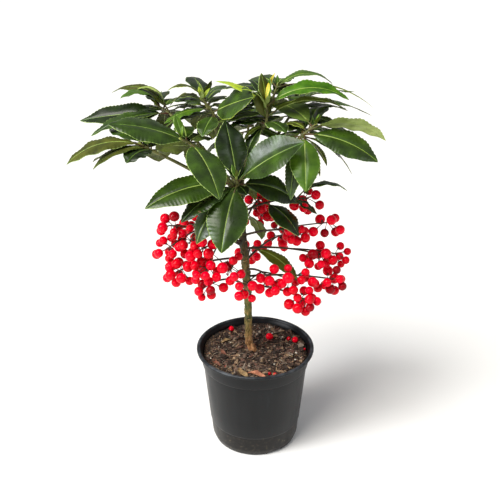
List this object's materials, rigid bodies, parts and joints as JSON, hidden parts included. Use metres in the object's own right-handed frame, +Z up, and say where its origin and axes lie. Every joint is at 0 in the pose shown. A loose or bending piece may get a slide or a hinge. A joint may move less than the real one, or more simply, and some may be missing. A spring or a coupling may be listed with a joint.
{
  "type": "potted coral ardisia",
  "caption": "Small evergreen shrub on one bent trunk, with tiers of leathery leaves above sprays of red berries, in a round black nursery pot of potting mix.",
  "frame": {"origin": "centre of the pot's flat underside, on the ground", "axes": "+Z up along the pot's axis, +X to the right and +Y away from the viewer of the picture"},
  "size_m": [0.2859, 0.221, 0.3824],
  "materials": {
    "black_plastic": "satin",
    "potting_mix": "matte",
    "bark": "matte",
    "green_bark": "matte",
    "leaf": "satin",
    "berry": "gloss"
  },
  "bodies": {
    "root": {"pot": "black_plastic", "potting_mix": "potting_mix", "trunk": "bark", "bough_front": "green_bark", "bough_right": "green_bark", "bough_left": "green_bark", "bough_front_left": "green_bark", "bough_top_left": "green_bark", "bough_top_middle": "green_bark", "bough_top": "green_bark", "bough_top_right": "green_bark", "bough_back_left": "green_bark", "bough_back_right": "green_bark", "bough_back": "green_bark", "leaves_front": "leaf", "leaves_right": "leaf", "leaves_left": "leaf", "leaves_front_left": "leaf", "leaves_top_left": "leaf", "leaves_top_middle": "leaf", "leaves_top": "leaf", "leaves_top_right": "leaf", "leaves_back_left": "leaf", "leaves_back_right": "leaf", "leaves_back": "leaf", "fruit_left_high": "berry", "fruit_left_low": "berry", "fruit_front_left": "berry", "fruit_front_low": "berry", "fruit_front": "berry", "fruit_front_right": "berry", "fruit_right_low": "berry", "fruit_right": "berry", "fruit_right_middle": "berry", "fruit_right_high": "berry", "fruit_right_top": "berry", "fruit_inner": "berry", "fruit_back": "berry", "fruit_back_left": "berry", "fruit_back_right": "berry", "fruit_back_low": "berry"}
  },
  "joints": []
}
